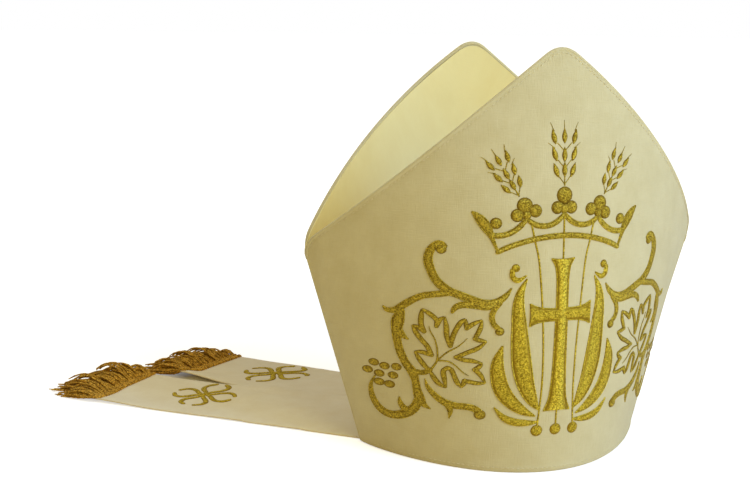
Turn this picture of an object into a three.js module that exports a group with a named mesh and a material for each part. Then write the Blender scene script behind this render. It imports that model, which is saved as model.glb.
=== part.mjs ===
// A bishop's mitre standing on its rim, with its two lappets laid out on the table behind it.
// Millimetres, +Z up. The front panel faces -Y. The origin is the middle of the head opening,
// in the plane of the rim.
import * as THREE from 'three';

// ---- Driving sizes -------------------------------------------------------------------------

// Each panel flares from the rim to the shoulders, and runs up to a peak above them.
const HEIGHT = 290; // to where the two upper edges of a peak would cross
const SHOULDER_HEIGHT = 150;
const RIM_HALF_WIDTH = 108.7;
const SHOULDER_HALF_WIDTH = 153.7;

// How far each panel stands out from the plane of the side seams.
const RIM_DEPTH = { front: 90, back: 79.5 };
const SHOULDER_DEPTH = 92.7;
const PEAK_DEPTH = 77;

// The roundness of a level section: 2 would be an ellipse, and 1 is a parabola.
const RIM_ROUNDNESS = 1.22;
const SHOULDER_ROUNDNESS = 0.97;

// The upper edges are slightly bowed, and blunted at the peak and at the shoulders.
const EDGE_BOW = 0.053; // rise of the bow over the height of the peak
const PEAK_BLUNT = 0.075; // share of the edge that the round peak takes
const SHOULDER_BLUNT = 0.05; // share of the edge that the round shoulder takes
const SHOULDER_DROP = 9; // height below the shoulder at which the side seam begins

const WALL = 2.5; // cloth over a stiffener
const GAP = 0.3; // between neighbouring pieces

// The lining hangs from both upper edges and dips between the panels above the head.
const LINING = { thickness: 1.2, clearance: 1, below: 3, floor: 139, reach: 0.94, squareness: 4 };

// Two lappets, each a flat strip: where its middle leaves the rim, which way it runs, its
// length, its width at the rim and at the fringe, how far it reaches in under the rim, and how
// far each of its ends is turned away from square.
const LAPPET_THICKNESS = 1.6;
const LAPPETS = [
  {
    name: 'left',
    x: -86.3,
    y: 32,
    heading: 143.1,
    length: 221,
    rim: { width: 71, skew: 0 },
    end: { width: 72.5, skew: -4.5 },
    under: 8,
  },
  {
    name: 'right',
    x: -23,
    y: 70,
    heading: 140,
    length: 211,
    rim: { width: 64, skew: -39 },
    end: { width: 74, skew: -10 },
    under: 9,
  },
];

// The back panel rides over the lappets, and comes down to the table beyond them.
const RIM_LIFT = { height: 2.1, full: 0.22, none: 0.45 };

// The fringe of each lappet lies in tufts: how far across the end a tuft is rooted, how far it
// reaches, how high it stands at its middle, and how far its tip leans to the right.
const FRINGE_TUFTS = {
  left: [
    { across: 0, reach: 37, height: 4, lean: -12 },
    { across: 0.15, reach: 45, height: 6, lean: -8 },
    { across: 0.36, reach: 48, height: 8, lean: 0 },
    { across: 0.5, reach: 36, height: 6, lean: 0 },
    { across: 0.63, reach: 34, height: 7, lean: 1 },
    { across: 0.8, reach: 44, height: 10, lean: 3 },
    { across: 0.92, reach: 38, height: 8, lean: 4 },
    { across: 1, reach: 28, height: 4, lean: 3 },
  ],
  right: [
    { across: 0, reach: 34, height: 5, lean: -2 },
    { across: 0.14, reach: 40, height: 8, lean: -2 },
    { across: 0.3, reach: 37, height: 7, lean: 0 },
    { across: 0.48, reach: 40, height: 8, lean: 0 },
    { across: 0.66, reach: 37, height: 7, lean: 1 },
    { across: 0.82, reach: 40, height: 9, lean: 3 },
    { across: 0.93, reach: 31, height: 6, lean: 3 },
    { across: 1, reach: 22, height: 4, lean: 2 },
  ],
};
const FRINGE_PROFILE = [
  { along: 0, rise: 0.45 },
  { along: 0.3, rise: 0.9 },
  { along: 0.6, rise: 1 },
  { along: 0.85, rise: 0.7 },
  { along: 1, rise: 0.2 },
];

// How finely the curved cloth is divided.
const PEAK_COLUMNS = 3;
const EDGE_COLUMNS = 10;
const SHOULDER_COLUMNS = 3;
const PANEL_ROWS = 12;
const LINING_ROWS = 18;

// ---- Shared geometry -----------------------------------------------------------------------

const mix = (a, b, t) => a + (b - a) * t;
const clamp = (value) => Math.min(1, Math.max(0, value));
const radians = THREE.MathUtils.degToRad;
const steps = (count) => Array.from({ length: count + 1 }, (_, i) => i / count);

// A closed solid between two sheets of points that have the same rows and columns.
function solidBetween(sheetA, sheetB) {
  const rows = sheetA.length;
  const columns = sheetA[0].length;
  const points = [...sheetA.flat(), ...sheetB.flat()];
  const at = (sheet, row, column) => (sheet * rows + row) * columns + column;
  const index = [];
  const quad = (a, b, c, d) => index.push(a, b, c, a, c, d);
  for (let r = 0; r + 1 < rows; r += 1) {
    for (let c = 0; c + 1 < columns; c += 1) {
      quad(at(0, r, c), at(0, r, c + 1), at(0, r + 1, c + 1), at(0, r + 1, c));
      quad(at(1, r, c), at(1, r + 1, c), at(1, r + 1, c + 1), at(1, r, c + 1));
    }
  }
  for (let c = 0; c + 1 < columns; c += 1) {
    quad(at(0, 0, c), at(1, 0, c), at(1, 0, c + 1), at(0, 0, c + 1));
    quad(at(0, rows - 1, c + 1), at(1, rows - 1, c + 1), at(1, rows - 1, c), at(0, rows - 1, c));
  }
  for (let r = 0; r + 1 < rows; r += 1) {
    quad(at(0, r + 1, 0), at(1, r + 1, 0), at(1, r, 0), at(0, r, 0));
    quad(at(0, r, columns - 1), at(1, r, columns - 1), at(1, r + 1, columns - 1), at(0, r + 1, columns - 1));
  }
  if (signedVolume(points, index) < 0) {
    index.reverse();
  }
  const geometry = new THREE.BufferGeometry().setFromPoints(points);
  geometry.setIndex(index);
  geometry.computeVertexNormals();
  return geometry;
}

function signedVolume(points, index) {
  let sum = 0;
  for (let i = 0; i < index.length; i += 3) {
    const [a, b, c] = [points[index[i]], points[index[i + 1]], points[index[i + 2]]];
    sum += new THREE.Vector3().crossVectors(a, b).dot(c) / 6;
  }
  return sum;
}

// ---- The form of a panel -------------------------------------------------------------------

const EDGE = new THREE.QuadraticBezierCurve(
  new THREE.Vector2(0, HEIGHT),
  new THREE.Vector2(
    SHOULDER_HALF_WIDTH / 2,
    mix(SHOULDER_HEIGHT, HEIGHT, 0.5 + 2 * EDGE_BOW),
  ),
  new THREE.Vector2(SHOULDER_HALF_WIDTH, SHOULDER_HEIGHT),
);

// Half of the width at a height, were the sides to run straight on above the shoulders.
function halfWidth(z) {
  return mix(RIM_HALF_WIDTH, SHOULDER_HALF_WIDTH, z / SHOULDER_HEIGHT);
}

// The upper edge of one side, from the middle of the peak (0) to the top of the seam (1).
function upperEdge(share) {
  const peakEnd = EDGE.getPoint(PEAK_BLUNT);
  const peakSide = EDGE.getTangent(PEAK_BLUNT);
  const top = new THREE.Vector2(0, peakEnd.y - (peakSide.y / peakSide.x) * peakEnd.x * 0.5);
  const shoulderEnd = EDGE.getPoint(1 - SHOULDER_BLUNT);
  const seamZ = SHOULDER_HEIGHT - SHOULDER_DROP;
  const seamTop = new THREE.Vector2(halfWidth(seamZ), seamZ);
  if (share < PEAK_BLUNT) {
    const control = new THREE.Vector2(peakEnd.x / 2, top.y);
    return new THREE.QuadraticBezierCurve(top, control, peakEnd).getPoint(share / PEAK_BLUNT);
  }
  if (share > 1 - SHOULDER_BLUNT) {
    const corner = new THREE.Vector2(SHOULDER_HALF_WIDTH, SHOULDER_HEIGHT);
    const turn = new THREE.QuadraticBezierCurve(shoulderEnd, corner, seamTop);
    return turn.getPoint((share - 1 + SHOULDER_BLUNT) / SHOULDER_BLUNT);
  }
  return EDGE.getPoint(share);
}

// How far the middle of a panel stands out at a height: a parabola through three heights.
function middleDepth(side, z) {
  const t = z / SHOULDER_HEIGHT;
  const top = HEIGHT / SHOULDER_HEIGHT;
  const rimShare = ((t - 1) * (t - top)) / top;
  const shoulderShare = (t * (t - top)) / (1 - top);
  const peakShare = (t * (t - 1)) / (top * (top - 1));
  return RIM_DEPTH[side] * rimShare + SHOULDER_DEPTH * shoulderShare + PEAK_DEPTH * peakShare;
}

// How far the cloth stands out from the plane of the seams at a place, inset by some wall.
function depthAt(side, x, z, inset) {
  const roundness = mix(RIM_ROUNDNESS, SHOULDER_ROUNDNESS, z / SHOULDER_HEIGHT);
  const fromMiddle = Math.min(1, Math.abs(x) / (halfWidth(z) - inset));
  return (middleDepth(side, z) - inset) * (1 - fromMiddle ** 2) ** (1 / roundness);
}

// The places of the columns from seam to seam, -1 to 1, closer together where the edge turns.
function columnPlaces(reach = 1) {
  const half = [
    ...steps(PEAK_COLUMNS).map((t) => t * PEAK_BLUNT),
    ...steps(EDGE_COLUMNS).slice(1).map((t) => (
      mix(PEAK_BLUNT, 1 - SHOULDER_BLUNT, Math.sin(t * Math.PI / 2))
    )),
    ...steps(SHOULDER_COLUMNS).slice(1).map((t) => mix(1 - SHOULDER_BLUNT, 1, t)),
  ];
  return [...half.slice(1).reverse().map((place) => -place), ...half].map((place) => place * reach);
}

// How far the bottom of the back panel is lifted off the table by the lappets under it.
function rimLift(place) {
  const t = clamp((place - RIM_LIFT.full) / (RIM_LIFT.none - RIM_LIFT.full));
  return RIM_LIFT.height * (1 - t * t * (3 - 2 * t));
}

function panelSheet(side, inset) {
  const outward = side === 'front' ? -1 : 1;
  return columnPlaces().map((place) => {
    const top = upperEdge(Math.abs(place));
    const bottom = side === 'front' ? 0 : rimLift(place);
    const share = Math.sign(place) * (top.x / halfWidth(top.y));
    return steps(PANEL_ROWS).map((t) => {
      const z = mix(bottom, top.y, t);
      const x = share * (halfWidth(z) - inset);
      return new THREE.Vector3(x, outward * (depthAt(side, x, z, inset) + GAP / 2), z);
    });
  });
}

function panelGeometry(side) {
  return solidBetween(panelSheet(side, 0), panelSheet(side, WALL));
}

// ---- The lining between the peaks ----------------------------------------------------------

// Each column is a deep trough, from the front panel's edge down, across and up to the back's.
function liningSheet(offset) {
  const inset = WALL + LINING.clearance + offset;
  const power = 2 / LINING.squareness;
  return columnPlaces(LINING.reach).map((place) => {
    const top = upperEdge(Math.abs(place));
    const x = Math.sign(place) * top.x;
    const highest = top.y - LINING.below;
    const lowest = LINING.floor + offset;
    return steps(LINING_ROWS).map((t) => {
      const angle = t * Math.PI;
      const z = mix(highest, lowest, Math.sin(angle) ** power);
      const side = t < 0.5 ? 'front' : 'back';
      const outward = t < 0.5 ? -1 : 1;
      const spread = Math.abs(Math.cos(angle)) ** power;
      return new THREE.Vector3(x, outward * spread * depthAt(side, x, z, inset), z);
    });
  });
}

function liningGeometry() {
  return solidBetween(liningSheet(0), liningSheet(LINING.thickness));
}

// ---- The lappets and their fringes ---------------------------------------------------------

// A point of a lappet: along it from the rim, and across it from -1 (its left edge) to 1.
function onLappet(lappet, along, across, z) {
  const heading = radians(lappet.heading);
  const share = along / lappet.length;
  const sideways = (across * mix(lappet.rim.width, lappet.end.width, share)) / 2;
  const rimSlope = Math.tan(radians(lappet.rim.skew));
  const endSlope = Math.tan(radians(lappet.end.skew));
  const forward = along + sideways * mix(rimSlope, endSlope, clamp(share));
  return new THREE.Vector3(
    lappet.x + Math.cos(heading) * forward + Math.sin(heading) * sideways,
    lappet.y + Math.sin(heading) * forward - Math.cos(heading) * sideways,
    z,
  );
}

function lappetGeometry(lappet) {
  const sheet = (z) => steps(8).map((t) => {
    const along = mix(-lappet.under, lappet.length, t);
    return steps(2).map((c) => onLappet(lappet, along, 2 * c - 1, z));
  });
  return solidBetween(sheet(LAPPET_THICKNESS), sheet(0));
}

function fringeGeometry(lappet) {
  const sheet = (rise) => FRINGE_TUFTS[lappet.name].map(({ across, reach, height, lean }) => (
    FRINGE_PROFILE.map((step) => {
      const along = lappet.length + GAP + step.along * reach;
      const shift = (2 * step.along * lean) / lappet.end.width;
      return onLappet(lappet, along, 2 * across - 1 + shift, rise * step.rise * height);
    })
  ));
  return solidBetween(sheet(1), sheet(0));
}

// ---- Materials and the assembled mitre -----------------------------------------------------

const cloth = new THREE.MeshStandardMaterial({ color: 0xe6dcb6, roughness: 0.85, metalness: 0 });
const satin = new THREE.MeshStandardMaterial({ color: 0xf1e6b4, roughness: 0.5, metalness: 0 });
const bullion = new THREE.MeshStandardMaterial({ color: 0xa8782c, roughness: 0.45, metalness: 0.6 });

const mitre = new THREE.Group();

function addPiece(name, geometry, material) {
  const mesh = new THREE.Mesh(geometry, material);
  mesh.name = name;
  mitre.add(mesh);
}

addPiece('front_panel', panelGeometry('front'), cloth);
addPiece('back_panel', panelGeometry('back'), cloth);
addPiece('lining', liningGeometry(), satin);
for (const lappet of LAPPETS) {
  addPiece(`${lappet.name}_lappet`, lappetGeometry(lappet), cloth);
  addPiece(`${lappet.name}_fringe`, fringeGeometry(lappet), bullion);
}

export default mitre;
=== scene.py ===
# %% [markdown]
# # A bishop's mitre, stitched in gold
# A mitre is two stiff panels of cloth that meet in a fold at each side and rise to a peak at
# the front and at the back. A satin lining hangs between the peaks, and two tails of cloth,
# the lappets, are sewn under the back rim. Here the mitre stands on its rim, and the lappets
# lie on the table behind it. Every lesson below makes one piece or one finish.

# %% The imported frame and the tools
import math
import random

import bmesh
import bpy
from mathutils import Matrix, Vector, noise


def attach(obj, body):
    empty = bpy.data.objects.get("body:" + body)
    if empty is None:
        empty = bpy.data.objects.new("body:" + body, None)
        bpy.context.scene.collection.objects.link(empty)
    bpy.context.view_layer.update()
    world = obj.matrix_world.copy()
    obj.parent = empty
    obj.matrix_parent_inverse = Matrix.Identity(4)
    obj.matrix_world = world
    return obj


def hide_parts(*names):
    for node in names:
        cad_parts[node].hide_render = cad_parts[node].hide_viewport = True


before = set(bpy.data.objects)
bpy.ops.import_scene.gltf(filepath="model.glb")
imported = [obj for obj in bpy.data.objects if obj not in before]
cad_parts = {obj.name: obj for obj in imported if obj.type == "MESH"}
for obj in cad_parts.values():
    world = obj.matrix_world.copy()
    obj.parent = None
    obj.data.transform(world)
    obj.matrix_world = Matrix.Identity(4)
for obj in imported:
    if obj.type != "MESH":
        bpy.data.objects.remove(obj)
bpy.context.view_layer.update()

MM = 0.001


# %% [markdown]
# ## Camera and light
# The camera stands a little to the left of the mitre's middle and a little above it, as a
# person at the table would. The light is that of a white studio table: a cool lamp high on the
# right, a warm one in front, one above, one behind for the lappets, and a warm room all round.
# Lamps of a large size are chosen because they give the soft edges that cloth needs. The powers
# and colours of the room and most lamps were solved together, for the tones that the cloth
# should show, so their strong colours are a result of that and not those of a real room.

# %% Camera
LENS_MM, SENSOR_MM = 55.87, 36.0
camera_data = bpy.data.cameras.new("table_camera")
camera_data.lens, camera_data.sensor_width = LENS_MM, SENSOR_MM
camera_data.clip_start, camera_data.clip_end = 0.01, 200
camera = bpy.data.objects.new("table_camera", camera_data)
bpy.context.collection.objects.link(camera)
camera.location = (-0.34695, -0.76835, 0.30206)
camera.rotation_euler = [math.radians(angle) for angle in (78.742, -0.933, -17.605)]
bpy.context.scene.camera = camera
bpy.context.scene.view_settings.view_transform = "Standard"
print("camera stands", round(camera.location.length, 3), "m from the middle of the rim")


# %% Lamps and room
def lamp(name, place, aim, size, power, colour):
    """A square soft lamp at place that shines towards aim."""
    data = bpy.data.lights.new(name, "AREA")
    data.shape, data.size, data.energy, data.color = "SQUARE", size, power, colour
    made = bpy.data.objects.new(name, data)
    made.location = place
    made.rotation_euler = (Vector(aim) - Vector(place)).to_track_quat("-Z", "Y").to_euler()
    bpy.context.collection.objects.link(made)
    return made


MIDDLE = (0, 0, 0.14)
lamp("key_lamp", (1.22, -1.36, 1.15), MIDDLE, 1.1, 19.3, (0.58, 1.0, 1.9))
lamp("front_lamp", (0.42, -1.85, 0.95), MIDDLE, 1.1, 13.4, (1.0, 0.965, 0.42))
lamp("top_lamp", (-0.3, 0.2, 1.9), MIDDLE, 1.4, 7, (0.93, 1.0, 1.07))
lamp("back_lamp", (-0.9, 0.9, 1.1), (-0.2, 0.12, 0), 0.9, 5, (0.8, 1.0, 1.0))

room = bpy.data.worlds.new("white_room")
bpy.context.scene.world = room
room.use_nodes = True
sky = room.node_tree.nodes
ROOM_LIGHT = 0.285
sky["Background"].inputs["Color"].default_value = (1.0, 0.75, 0.35, 1)
sky["Background"].inputs["Strength"].default_value = ROOM_LIGHT
white = sky.new("ShaderNodeBackground")
white.inputs["Color"].default_value = (1, 1, 1, 1)
white.inputs["Strength"].default_value = 1.0
rays, blend = sky.new("ShaderNodeLightPath"), sky.new("ShaderNodeMixShader")
wire = room.node_tree.links.new
wire(rays.outputs["Is Camera Ray"], blend.inputs["Fac"])
wire(sky["Background"].outputs[0], blend.inputs[1])
wire(white.outputs[0], blend.inputs[2])
wire(blend.outputs[0], sky["World Output"].inputs["Surface"])
print("four lamps and a white room")


# %% [markdown]
# ## Node helpers
# A material is a small chart of nodes, and writing each wire out takes many lines. The class
# below adds a node with its settings and wires it in one call. Effects that several finishes
# use, such as a weave or a glitter, are node groups: they are built once, and their sockets
# are named in a maker's words.

# %% A chart of nodes
class Chart:
    """Adds nodes to a material or to a group, and wires them."""

    def __init__(self, tree):
        self.tree = tree

    def add(self, kind, inputs=None, **settings):
        node = self.tree.nodes.new("ShaderNode" + kind)
        for name, value in settings.items():
            setattr(node, name, value)
        for name, value in (inputs or {}).items():
            if isinstance(value, bpy.types.NodeSocket):
                self.tree.links.new(value, node.inputs[name])
            else:
                node.inputs[name].default_value = value
        return node

    def maths(self, operation, first, second=0.0, clamp=False):
        node = self.add("Math", {0: first, 1: second}, operation=operation, use_clamp=clamp)
        return node.outputs[0]

    def ramp(self, value, low, high, new_low=0.0, new_high=1.0):
        node = self.add("MapRange", {
            "Value": value, "From Min": low, "From Max": high,
            "To Min": new_low, "To Max": new_high})
        return node.outputs["Result"]

    def tint(self, share, first, second, blend_type="MIX"):
        node = self.add("Mix", data_type="RGBA", blend_type=blend_type, clamp_factor=True)
        for socket, value in ((0, share), (6, first), (7, second)):
            if isinstance(value, bpy.types.NodeSocket):
                self.tree.links.new(value, node.inputs[socket])
            else:
                node.inputs[socket].default_value = value
        return node.outputs[2]


def node_group(name, inputs, outputs):
    """A new shader node group with float or vector sockets, its chart and its two ends."""
    tree = bpy.data.node_groups.new(name, "ShaderNodeTree")
    for socket, value in inputs.items():
        kind = "NodeSocketVector" if value is None else "NodeSocketFloat"
        made = tree.interface.new_socket(socket, in_out="INPUT", socket_type=kind)
        if value is not None:
            made.default_value = value
    for socket in outputs:
        tree.interface.new_socket(socket, in_out="OUTPUT", socket_type="NodeSocketFloat")
    chart = Chart(tree)
    start = tree.nodes.new("NodeGroupInput").outputs
    end = tree.nodes.new("NodeGroupOutput").inputs
    return tree, chart, start, end


print("node helpers ready")


# %% [markdown]
# ## Woven cloth as a node group
# The mitre's cloth is a fine even weave with a slight nap: threads under half a millimetre
# wide, some thicker than others, and a soft mottling where the nap lies one way or another.
# Two noises, each stretched along one thread direction, give uneven threads without the
# moire that a ruled grid of lines would show, and a third gives the nap.

# %% The weave group
def build_weave():
    tree, chart, start, end = node_group(
        "woven_cloth", {"Across and up": None, "Thread": 0.0005}, ("Shade", "Height", "Nap"))
    per_metre = chart.maths("DIVIDE", 1.0, start["Thread"])
    threads = []
    for stretch in ((0.09, 1.0, 1.0), (1.0, 0.09, 1.0)):
        turned = chart.add("VectorMath", {0: start["Across and up"], 1: stretch},
                           operation="MULTIPLY").outputs[0]
        threads.append(chart.add("TexNoise", {
            "Vector": turned, "Scale": per_metre, "Detail": 2.0, "Roughness": 0.6,
        }).outputs["Fac"])
    weave = chart.maths("ADD", threads[0], threads[1])
    nap = chart.add("TexNoise", {
        "Vector": start["Across and up"], "Scale": 38.0, "Detail": 4.0, "Roughness": 0.65,
    }).outputs["Fac"]
    wires = chart.tree.links.new
    wires(chart.ramp(weave, 0.6, 1.4), end["Shade"])
    wires(weave, end["Height"])
    wires(chart.ramp(nap, 0.3, 0.7), end["Nap"])
    return tree


woven_cloth = build_weave()
print("weave group with", len(woven_cloth.nodes), "nodes")


# %% [markdown]
# ## Gold thread and glitter as node groups
# Machine embroidery lays fine metal thread side by side across each stroke, so the gloss
# breaks into narrow ribs. The wide fills are worked over with a glittering thread whose
# flakes each catch the light at their own angle. Ribs come from a wave along the stroke, which
# also darkens each groove between threads as painted shade. Flakes come from a cell pattern in
# which each cell draws its own random brightness, a painted glint.

# %% The thread and glitter groups
def build_thread():
    tree, chart, start, end = node_group(
        "laid_thread", {"Along and across": None, "Pitch": 0.0007, "Slant": 0.0006},
        ("Rib", "Edge"))
    apart = chart.add("SeparateXYZ", {0: start["Along and across"]})
    leaning = chart.maths("MULTIPLY", apart.outputs["Y"], start["Slant"])
    along = chart.maths("ADD", apart.outputs["X"], leaning)
    turns = chart.maths("DIVIDE", along, start["Pitch"])
    rib = chart.maths("SINE", chart.maths("MULTIPLY", turns, 2 * math.pi))
    side = chart.maths("ABSOLUTE", apart.outputs["Y"])
    wires = chart.tree.links.new
    wires(chart.ramp(rib, -1.0, 1.0), end["Rib"])
    wires(chart.ramp(side, 0.45, 0.8), end["Edge"])
    return tree


def build_glitter():
    tree, chart, start, end = node_group(
        "glitter", {"Place": None, "Flake": 0.0008}, ("Painted flake glint", "Flake tilt"))
    scale = chart.maths("DIVIDE", 1.0, start["Flake"])
    cells = chart.add("TexVoronoi", {"Vector": start["Place"], "Scale": scale})
    apart = chart.add("SeparateXYZ", {0: cells.outputs["Color"]})
    wires = chart.tree.links.new
    # Each cell's random brightness is a painted glint.
    wires(apart.outputs["X"], end["Painted flake glint"])
    wires(apart.outputs["Y"], end["Flake tilt"])
    return tree


laid_thread, glitter = build_thread(), build_glitter()
print("thread and glitter groups ready")


# %% [markdown]
# ## The finishes
# Cloth is rough and has a sheen from its nap, and the sheen grows where the surface turns
# away from the eye. Satin is the same colour but smoother, with long threads. Gold thread is
# half metal: a real lurex thread is a metal strip wound round a yellow core, so its colour
# comes both from a mirror and from dye.

# %% Cloth and satin
def new_material(name):
    made = bpy.data.materials.new(name)
    made.use_nodes = True
    chart = Chart(made.node_tree)
    return made, chart, made.node_tree.nodes["Principled BSDF"]


def use_group(chart, tree, **inputs):
    node = chart.add("Group", node_tree=tree)
    for name, value in inputs.items():
        socket = node.inputs[name.replace("_", " ")]
        if isinstance(value, bpy.types.NodeSocket):
            chart.tree.links.new(value, socket)
        else:
            socket.default_value = value
    return node.outputs


def cloth_material(name, pale, deep, thread, relief, roughness, sheen, sheen_tint):
    made, chart, surface = new_material(name)
    spot = chart.add("TexCoord").outputs["UV"]
    weave = use_group(chart, woven_cloth, Across_and_up=spot, Thread=thread)
    mottled = chart.tint(chart.ramp(weave["Nap"], 0, 1, 0.0, 0.45), pale, deep)
    colour = chart.tint(chart.ramp(weave["Shade"], 0, 1, 0.0, 0.3), mottled, deep)
    bump = chart.add("Bump", {"Height": weave["Height"], "Strength": 0.5, "Distance": relief})
    wires = chart.tree.links.new
    wires(colour, surface.inputs["Base Color"])
    wires(bump.outputs[0], surface.inputs["Normal"])
    wires(chart.ramp(weave["Nap"], 0, 1, roughness - 0.05, roughness + 0.05),
          surface.inputs["Roughness"])
    surface.inputs["Sheen Weight"].default_value = sheen
    surface.inputs["Sheen Roughness"].default_value = 0.45
    surface.inputs["Sheen Tint"].default_value = sheen_tint
    surface.inputs["Specular IOR Level"].default_value = 0.25
    return made


cream_cloth = cloth_material("cream_cloth", (0.72, 0.63, 0.37, 1), (0.55, 0.45, 0.21, 1),
                             0.0008, 0.0004, 0.75, 0.5, (0.95, 0.98, 1.0, 1))
lappet_cloth = cloth_material("lappet_cloth", (0.88, 0.79, 0.62, 1), (0.74, 0.61, 0.38, 1),
                              0.0006, 0.00025, 0.75, 0.3, (1.0, 0.95, 0.88, 1))
yellow_satin = cloth_material("yellow_satin", (0.94, 0.83, 0.43, 1), (0.85, 0.71, 0.31, 1),
                              0.0007, 0.00006, 0.5, 0.3, (1.0, 0.97, 0.85, 1))
print("cloth, lappet cloth and satin")


# %% Gold threads
def gold_material(name, light, dark, edge, flake, metal, roughness):
    """Gold thread: light and dark flakes, a painted glint, in the middle of a stroke, painted
    shade in the grooves between its threads, and edge colour at its sides.
    """
    made, chart, surface = new_material(name)
    where = chart.add("TexCoord")
    laid = use_group(chart, laid_thread, Along_and_across=where.outputs["UV"])
    flakes = use_group(chart, glitter, Place=where.outputs["Object"], Flake=flake)
    # Light and dark flakes: a painted glint on each.
    middle = chart.tint(flakes["Painted flake glint"], dark, light)
    # Each groove between the laid threads is darkened: painted shade.
    with_painted_rib_shade = chart.tint(chart.ramp(laid["Rib"], 0, 1, 0.28, 0.0), middle, dark)
    colour = chart.tint(chart.maths("MULTIPLY", laid["Edge"], 0.85), with_painted_rib_shade, edge)
    height = chart.maths("ADD", laid["Rib"], flakes["Flake tilt"])
    bump = chart.add("Bump", {"Height": height, "Strength": 0.7, "Distance": 0.0002})
    wires = chart.tree.links.new
    wires(colour, surface.inputs["Base Color"])
    wires(bump.outputs[0], surface.inputs["Normal"])
    wires(chart.ramp(flakes["Flake tilt"], 0, 1, roughness - 0.12, roughness + 0.12),
          surface.inputs["Roughness"])
    surface.inputs["Metallic"].default_value = metal
    surface.inputs["Specular IOR Level"].default_value = 0.15
    return made


bright_gold = gold_material("bright_gold", (1.0, 0.76, 0.07, 1), (0.25, 0.155, 0.004, 1),
                            (0.32, 0.19, 0.01, 1), 0.0007, 0.45, 0.42)
stroke_gold = gold_material("stroke_gold", (0.82, 0.60, 0.06, 1), (0.19, 0.12, 0.006, 1),
                            (0.20, 0.115, 0.008, 1), 0.0007, 0.4, 0.45)
outline_gold = gold_material("outline_gold", (0.34, 0.22, 0.03, 1), (0.17, 0.10, 0.01, 1),
                             (0.17, 0.10, 0.01, 1), 0.0006, 0.4, 0.45)
bullion_gold = gold_material("bullion_gold", (0.98, 0.56, 0.08, 1), (0.22, 0.10, 0.006, 1),
                             (0.34, 0.17, 0.014, 1), 0.0009, 0.3, 0.5)
print("four gold threads")


# %% Sewing thread
def sewing_thread_material():
    made, chart, surface = new_material("sewing_thread")
    where = chart.add("TexCoord").outputs["Object"]
    speck = chart.add("TexNoise", {"Vector": where, "Scale": 900.0, "Detail": 1.0})
    tone = chart.tint(speck.outputs["Fac"], (0.80, 0.72, 0.47, 1), (0.60, 0.49, 0.26, 1))
    chart.tree.links.new(tone, surface.inputs["Base Color"])
    surface.inputs["Roughness"].default_value = 0.6
    return made


sewing_thread = sewing_thread_material()
print("sewing thread")


# %% [markdown]
# ## The mitre's own shape
# The panels, the lining and the embroidery all follow one surface, so its rules are written
# once. Seen from the front a panel widens from the rim to the shoulders and then closes to a
# blunt peak along a slightly bowed edge. Seen from above it is a rounded lens, so that the
# front and the back meet in a fold at each side. All lengths are in millimetres.

# %% Measures and outline
HEIGHT, SHOULDER_HEIGHT = 290, 150
RIM_HALF_WIDTH, SHOULDER_HALF_WIDTH = 108.7, 153.7
RIM_DEPTH = {"front": 90, "back": 79.5}
SHOULDER_DEPTH, PEAK_DEPTH = 92.7, 77
RIM_ROUNDNESS, SHOULDER_ROUNDNESS = 1.22, 0.97
EDGE_BOW, PEAK_BLUNT, SHOULDER_BLUNT, SHOULDER_DROP = 0.053, 0.075, 0.05, 9
WALL, GAP = 2.5, 0.3
OUTWARD = {"front": -1, "back": 1}


def mix(first, second, share):
    return first + (second - first) * share


def smooth(value, low=0.0, high=1.0):
    share = min(1, max(0, (value - low) / (high - low)))
    return share * share * (3 - 2 * share)


def bezier(first, control, last, share):
    return [mix(mix(a, b, share), mix(b, c, share), share)
            for a, b, c in zip(first, control, last)]


PEAK, SHOULDER = (0, HEIGHT), (SHOULDER_HALF_WIDTH, SHOULDER_HEIGHT)
BOW = (SHOULDER_HALF_WIDTH / 2, mix(SHOULDER_HEIGHT, HEIGHT, 0.5 + 2 * EDGE_BOW))


def half_width(z):
    return mix(RIM_HALF_WIDTH, SHOULDER_HALF_WIDTH, z / SHOULDER_HEIGHT)


def upper_edge(share):
    """(x, z) on the upper edge, from the peak at share 0 to the side fold at share 1."""
    if share < PEAK_BLUNT:
        end = bezier(PEAK, BOW, SHOULDER, PEAK_BLUNT)
        near = bezier(PEAK, BOW, SHOULDER, PEAK_BLUNT + 0.001)
        top = end[1] - (near[1] - end[1]) / (near[0] - end[0]) * end[0] / 2
        return bezier((0, top), (end[0] / 2, top), end, share / PEAK_BLUNT)
    if share > 1 - SHOULDER_BLUNT:
        low = SHOULDER_HEIGHT - SHOULDER_DROP
        start = bezier(PEAK, BOW, SHOULDER, 1 - SHOULDER_BLUNT)
        turn = (share - 1 + SHOULDER_BLUNT) / SHOULDER_BLUNT
        return bezier(start, SHOULDER, (half_width(low), low), turn)
    return bezier(PEAK, BOW, SHOULDER, share)


print("peak at", [round(c, 1) for c in upper_edge(0)], "fold at", upper_edge(1))


# %% Depth of a panel and points on its face
def middle_depth(side, z):
    """How far the panel stands from the fold's plane in its middle: a parabola over height."""
    rise, top = z / SHOULDER_HEIGHT, HEIGHT / SHOULDER_HEIGHT
    return (RIM_DEPTH[side] * (rise - 1) * (rise - top) / top
            + SHOULDER_DEPTH * rise * (rise - top) / (1 - top)
            + PEAK_DEPTH * rise * (rise - 1) / (top * (top - 1)))


def panel_depth(side, x, z, inset=0):
    roundness = mix(RIM_ROUNDNESS, SHOULDER_ROUNDNESS, z / SHOULDER_HEIGHT)
    share = min(1, abs(x) / (half_width(z) - inset))
    return (middle_depth(side, z) - inset) * (1 - share * share) ** (1 / roundness)


def softness(side, x, z):
    """Slight hollows and swells of the cloth, under half a millimetre, none at the fold."""
    seed = 3 if side == "front" else 9
    share = abs(x) / half_width(z)
    wave = 0.45 * noise.noise(Vector((x / 55, z / 42, seed)))
    crease = noise.noise(Vector((share * 34, z / 60, seed + 2.5)))
    by_fold = smooth(share, 0.78, 0.9) * smooth(z, 55, 120)
    return (wave + 0.55 * crease * by_fold) * (1 - smooth(share, 0.93, 1))


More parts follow.
